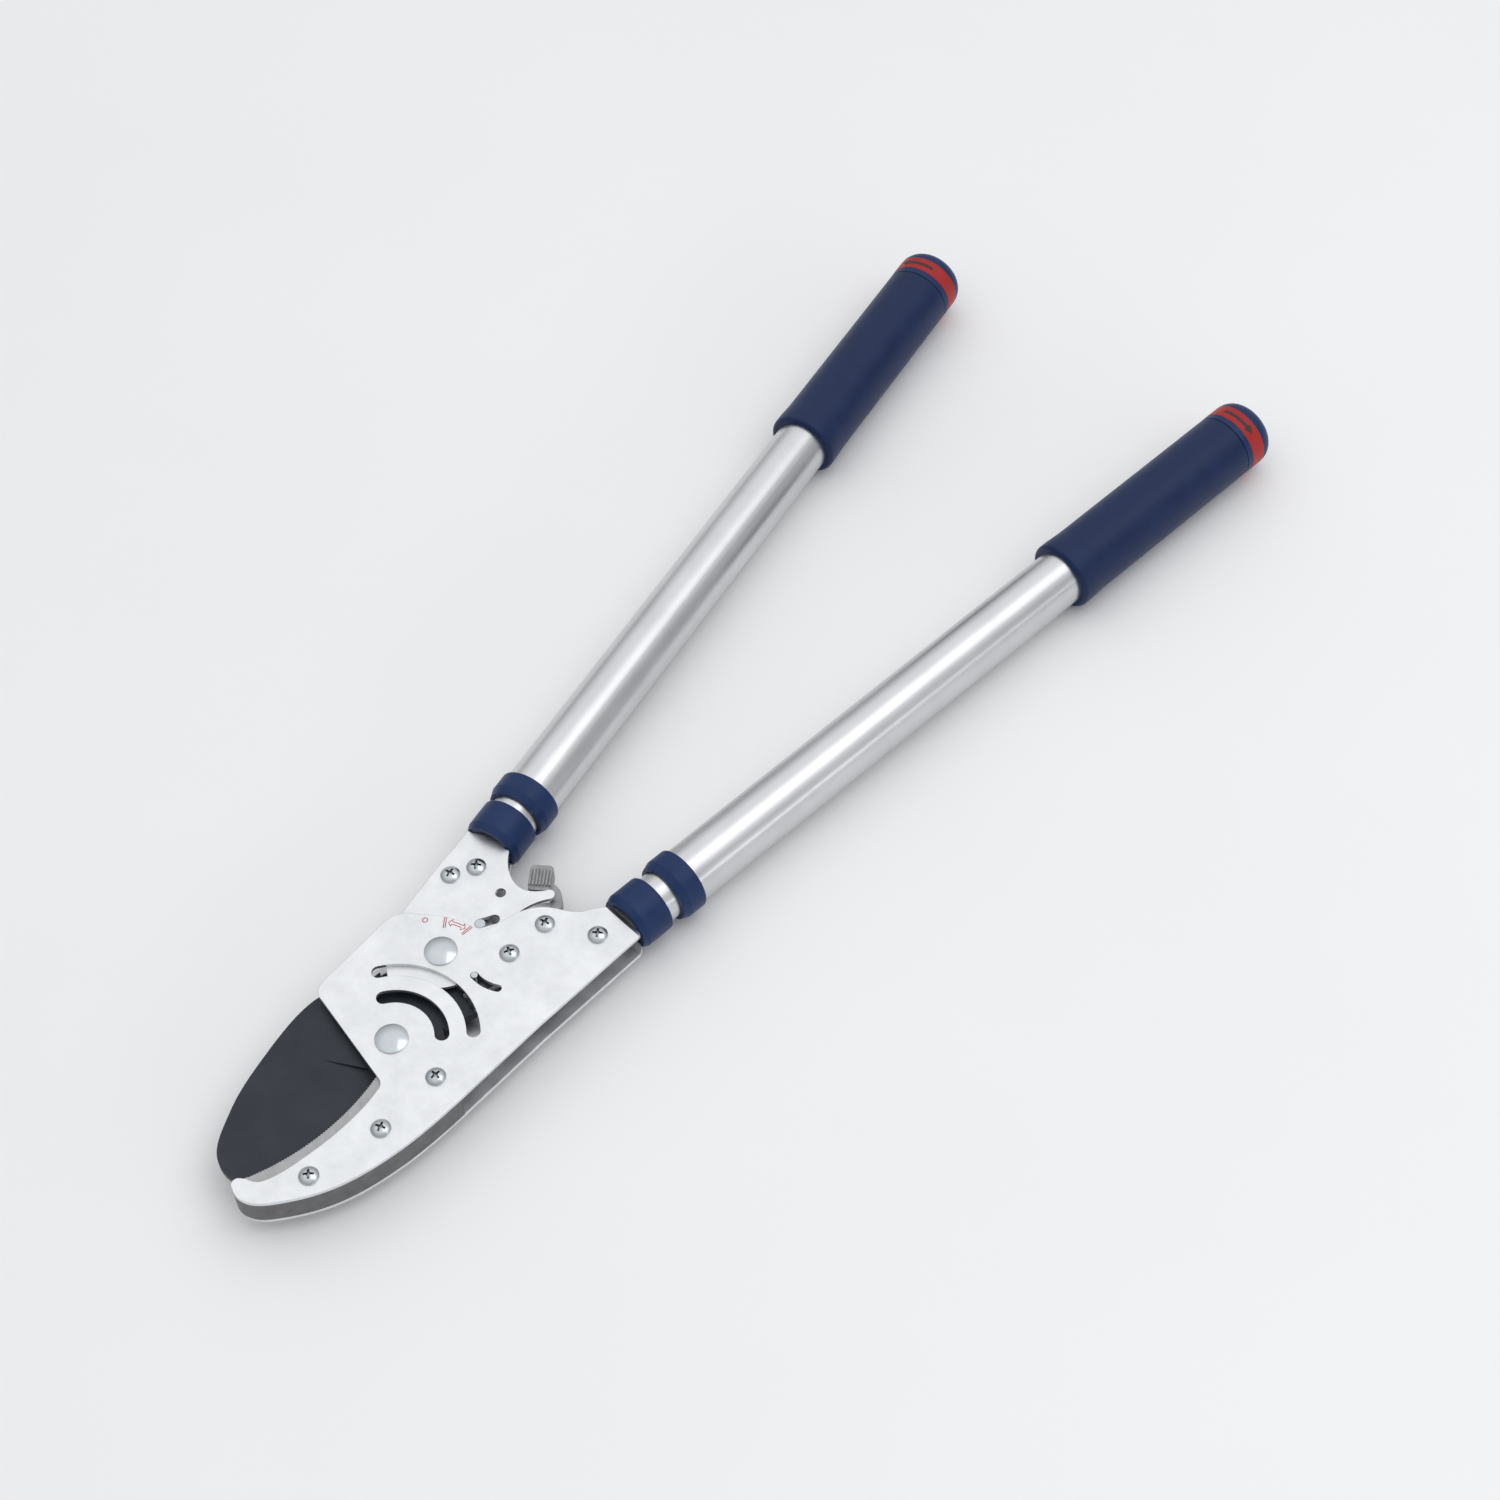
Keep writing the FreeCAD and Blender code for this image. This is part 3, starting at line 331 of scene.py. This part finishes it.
MATERIALS = {
    "satin_zinc": satin_zinc(),
    "grey_steel": grey_steel(),
    "coated_blade": coated_blade(),
    "bright_zinc": bright_zinc(),
    "pawl_steel": oiled_steel(),
    "cast_lever": cast_lever(),
    "navy_plastic": moulded(
        "navy_plastic", tones=((0.004, 0.021, 0.090), (0.008, 0.031, 0.115)),
        gloss=(0.38, 0.46), grain_scale=1500.0, grain_depth=0.03 * MM,
    ),
    "navy_rubber": moulded(
        "navy_grip", tones=((0.003, 0.014, 0.064), (0.006, 0.021, 0.086)),
        gloss=(0.40, 0.50), grain_scale=1100.0, grain_depth=0.06 * MM,
    ),
    "red_plastic": moulded(
        "red_band", tones=((0.33, 0.014, 0.014), (0.42, 0.024, 0.022)),
        gloss=(0.38, 0.50), grain_scale=1500.0, grain_depth=0.02 * MM,
    ),
    "black_nylon": moulded(
        "black_nylon", tones=((0.018, 0.018, 0.020), (0.032, 0.032, 0.036)),
        gloss=(0.45, 0.60), grain_scale=1200.0, grain_depth=0.03 * MM,
    ),
    "spring_wire": oiled_steel(),
    "bronze": bronze(),
}
TUBE_MATERIALS = {side: anodised(handle_turn(side)) for side in ("fixed", "moving")}


def dress_cad_nodes():
    """Gives each CAD node the material of its slot."""
    for row in frame["record"]["subparts"]:
        node = frame["nodes"][row["node"]]
        slot = row["material_slot"]
        if slot == "anodised":
            material = TUBE_MATERIALS[row["node"].split("_")[0]]
        else:
            material = MATERIALS[slot]
        node.data.materials.clear()
        node.data.materials.append(material)


# ---- strips of ink --------------------------------------------------------------------------
INK_THICKNESS = 0.04 * MM
INK_WIDTH = 0.55 * MM


def add_mesh(name, points, faces, material):
    """New mesh object with one material."""
    mesh = bpy.data.meshes.new(name)
    mesh.from_pydata(points, [], faces)
    mesh.materials.append(material)
    mesh.update()
    piece = bpy.data.objects.new(name, mesh)
    bpy.context.collection.objects.link(piece)
    return piece


def strip_sides(a, b):
    """Top, bottom and two long sides between cross-sections whose vertices start at a and b."""
    return [
        (a + 1, b + 1, b + 3, a + 3), (a, a + 2, b + 2, b),
        (a, b, b + 1, a + 1), (a + 2, a + 3, b + 3, b + 2),
    ]


def closed_ribbon(points):
    """Flat strip of ink along a closed line in the XY plane, as vertices and faces."""
    count = len(points)
    vertices, faces = [], []
    for i, point in enumerate(points):
        along = (points[(i + 1) % count] - points[i - 1]).normalized()
        side = Vector((-along.y, along.x)) * INK_WIDTH / 2
        for edge in (point + side, point - side):
            for height in (0.0, INK_THICKNESS):
                vertices.append((edge.x, edge.y, PLATE_TOP + height))
    for i in range(count):
        faces += strip_sides(4 * i, 4 * ((i + 1) % count))
    return vertices, faces


# ---- marks printed on the front plate -------------------------------------------------------
# Radii in millimetres and angles in degrees, round the handle pivot.
ARROW_SHAFT_RADII = (16.4, 17.9)
ARROW_MIDDLE_RADIUS = 17.15
ARROW_TIP_ANGLES = (96.0, 127.0)
ARROW_NECK_ANGLES = (102.0, 121.0)
ARROW_HEAD_HALF_WIDTH = 2.1
ARROW_SHAFT_SPANS = 6
BAR_RADII = (13.9, 20.0)
BAR_HALF_ANGLES = (2.0, 1.4)
INNER_BAR_ANGLE = 91.0
OUTER_BAR_ANGLE = 133.0
RING_CENTRE = (20.6, 162.0)
RING_RADIUS = 1.25
RING_SIDES = 24


def around_pivot(radius, degrees):
    """A point round the handle pivot, on the plate."""
    angle = math.radians(degrees)
    return Vector((
        HANDLE_PIVOT.x + radius * MM * math.cos(angle),
        HANDLE_PIVOT.y + radius * MM * math.sin(angle),
    ))


def ratchet_arrow_outline():
    """Outline of a curved double arrow."""
    low, high = ARROW_SHAFT_RADII
    inner = ARROW_MIDDLE_RADIUS - ARROW_HEAD_HALF_WIDTH
    outer = ARROW_MIDDLE_RADIUS + ARROW_HEAD_HALF_WIDTH
    start, end = ARROW_NECK_ANGLES
    shaft = [start + (end - start) * i / ARROW_SHAFT_SPANS for i in range(ARROW_SHAFT_SPANS + 1)]
    places = [(ARROW_MIDDLE_RADIUS, ARROW_TIP_ANGLES[0]), (outer, start)]
    places += [(high, angle) for angle in shaft]
    places += [(outer, end), (ARROW_MIDDLE_RADIUS, ARROW_TIP_ANGLES[1]), (inner, end)]
    places += [(low, angle) for angle in reversed(shaft)]
    places += [(inner, start)]
    return [around_pivot(*place) for place in places]


def bar_outline(angle):
    """Outline of one of the bars that end the arrow's travel."""
    inner, outer = BAR_RADII
    wide, narrow = BAR_HALF_ANGLES
    places = [
        (inner, angle - wide), (outer, angle - narrow),
        (outer, angle + narrow), (inner, angle + wide),
    ]
    return [around_pivot(*place) for place in places]


def ring_outline():
    """Small ring that marks the fully open place."""
    centre = around_pivot(*RING_CENTRE)
    return [
        centre + Vector((math.cos(a), math.sin(a))) * RING_RADIUS * MM
        for a in [2 * math.pi * i / RING_SIDES for i in range(RING_SIDES)]
    ]


def add_printed_marks():
    """Red signs for the ratchet's travel, on the front plate."""
    outlines = {
        "printed_arrow": ratchet_arrow_outline(),
        "printed_bar_inner": bar_outline(INNER_BAR_ANGLE),
        "printed_bar_outer": bar_outline(OUTER_BAR_ANGLE),
        "printed_ring": ring_outline(),
    }
    ink = print_ink()
    for name, points in outlines.items():
        piece = add_mesh(name, *closed_ribbon(points), ink)
        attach(piece, "frame")


# ---- turn arrow on the red band of each knob ------------------------------------------------
BAND_INK_R = 18.72 * MM
TURN_ARROW_HALF = 1.0 * MM
TURN_HEAD_HALF = 2.7 * MM
TURN_HEAD_DEGREES = 15.0
TURN_ARROW_STEPS = 24


def add_band_arrow(side, body, tail, tip):
    """Arrow wrapped on the band from a tail angle to a tip angle, in degrees from the top."""
    low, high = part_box(side + "_knob_band")
    middle = (Vector(low) + Vector(high)) / 2
    axis = Vector(JOINTS[side + "_extension_slide"]["axis"]).normalized()
    across = axis.cross(UP)
    vertices, faces = [], []
    for i in range(TURN_ARROW_STEPS + 1):
        turn = tail + (tip - tail) * i / TURN_ARROW_STEPS
        to_tip = abs(tip - turn)
        in_head = to_tip <= TURN_HEAD_DEGREES
        half = TURN_HEAD_HALF * to_tip / TURN_HEAD_DEGREES if in_head else TURN_ARROW_HALF
        angle = math.radians(turn)
        out = across * math.sin(angle) + UP * math.cos(angle)
        for offset in (-half, half):
            for lift in (0.0, INK_THICKNESS):
                vertices.append(middle + out * (BAND_INK_R + lift) + axis * offset)
    for i in range(TURN_ARROW_STEPS):
        faces += strip_sides(4 * i, 4 * (i + 1))
    piece = add_mesh(side + "_band_arrow", vertices, faces, dark_ink())
    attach(piece, body)


# ---- floor, light and camera ----------------------------------------------------------------
FLOOR_HALF = 6.0
FLOOR_CLOUD_SCALE = 3.0

CAMERA_PITCH = 53.2
CAMERA_AZIMUTH = 49.41
CAMERA_ROLL = -3.7
CAMERA_LENS = 77.04
CAMERA_SENSOR = 36.0
CAMERA_DISTANCE = 1.637
CAMERA_CLIP_START = 0.05
AIM_FROM_BLADE_PIVOT = Vector((-3.2, 240.8, 8.7)) * MM

# Sky brightness against the cosine of the angle from its axis, and its faint cool tint.
SKY_AXIS = (-0.197, 0.168, 0.966)
SKY_LEVELS = ((0.0, 0.28), (0.35, 0.34), (0.62, 0.60), (0.85, 0.84))
SKY_TINT = (0.98, 0.99, 1.0)
SKY_STRENGTH = 1.26

# Each lamp's name, place, size, power in watts and colour.
LAMPS = (
    ("key", (0.9, 0.9, 2.2), (1.8, 1.8), 9.0, (1.0, 1.0, 1.0)),
    ("strip", (2.3, 0.1, 0.62), (2.6, 0.28), 6.0, (0.96, 0.98, 1.0)),
)


def add_floor():
    """Plain pale floor under the object."""
    material, tree, shader = new_material("pale_floor", (0.935, 0.935, 0.935), 0.0, 0.8)
    cloud = noise(tree, object_position(tree), FLOOR_CLOUD_SCALE)
    tint(tree, shader, cloud, (0.925, 0.925, 0.93), (0.945, 0.945, 0.945))
    corners = [
        (-FLOOR_HALF, -FLOOR_HALF, 0.0), (FLOOR_HALF, -FLOOR_HALF, 0.0),
        (FLOOR_HALF, FLOOR_HALF, 0.0), (-FLOOR_HALF, FLOOR_HALF, 0.0),
    ]
    floor = add_mesh("floor", corners, [(0, 1, 2, 3)], material)


def add_lamp(name, place, size, power, colour):
    """Rectangular lamp that faces the middle of the floor."""
    lamp = bpy.data.lights.new(name, "AREA")
    lamp.shape = "RECTANGLE"
    lamp.size, lamp.size_y = size
    lamp.energy = power
    lamp.color = colour
    holder = bpy.data.objects.new(name, lamp)
    holder.location = place
    holder.rotation_mode = "QUATERNION"
    holder.rotation_quaternion = (-Vector(place)).to_track_quat("-Z", "Y")
    bpy.context.collection.objects.link(holder)


def add_sky():
    """Overcast dome, brightest above and behind the object, dim near the horizon."""
    world = bpy.data.worlds.new("studio")
    world.use_nodes = True
    tree = world.node_tree
    coordinates = tree.nodes.new("ShaderNodeTexCoord")
    toward = tree.nodes.new("ShaderNodeVectorMath")
    toward.operation = "DOT_PRODUCT"
    toward.inputs[1].default_value = SKY_AXIS
    ramp = tree.nodes.new("ShaderNodeValToRGB")
    ramp.color_ramp.interpolation = "EASE"
    while len(ramp.color_ramp.elements) < len(SKY_LEVELS):
        ramp.color_ramp.elements.new(0.5)
    for element, (position, level) in zip(ramp.color_ramp.elements, SKY_LEVELS):
        element.position = position
        element.color = (*(level * channel for channel in SKY_TINT), 1.0)
    background = tree.nodes["Background"]
    background.inputs["Strength"].default_value = SKY_STRENGTH
    tree.links.new(coordinates.outputs["Generated"], toward.inputs[0])
    tree.links.new(toward.outputs["Value"], ramp.inputs["Fac"])
    tree.links.new(ramp.outputs["Color"], background.inputs["Color"])
    bpy.context.scene.world = world


def add_camera():
    """Camera over the head, aimed past the blade's pivot toward the grips."""
    pitch, azimuth = math.radians(CAMERA_PITCH), math.radians(CAMERA_AZIMUTH)
    forward = Vector((
        -math.sin(azimuth) * math.cos(pitch), math.cos(azimuth) * math.cos(pitch), -math.sin(pitch)
    ))
    aim = BLADE_PIVOT + AIM_FROM_BLADE_PIVOT
    camera = bpy.data.objects.new("camera", bpy.data.cameras.new("camera"))
    camera.data.lens = CAMERA_LENS
    camera.data.sensor_width = CAMERA_SENSOR
    camera.data.clip_start = CAMERA_CLIP_START
    camera.location = aim - forward * CAMERA_DISTANCE
    camera.rotation_mode = "QUATERNION"
    roll = Matrix.Rotation(math.radians(CAMERA_ROLL), 4, "Z")
    facing = forward.to_track_quat("-Z", "Y").to_matrix().to_4x4() @ roll
    camera.rotation_quaternion = facing.to_quaternion()
    bpy.context.collection.objects.link(camera)
    bpy.context.scene.camera = camera


dress_cad_nodes()
add_printed_marks()
add_band_arrow("fixed", "fixed_knob", tail=-24.0, tip=42.0)
add_band_arrow("moving", "moving_knob", tail=18.0, tip=-46.0)
add_floor()
add_sky()
for lamp_row in LAMPS:
    add_lamp(*lamp_row)
add_camera()
bpy.context.scene.view_settings.view_transform = "Standard"
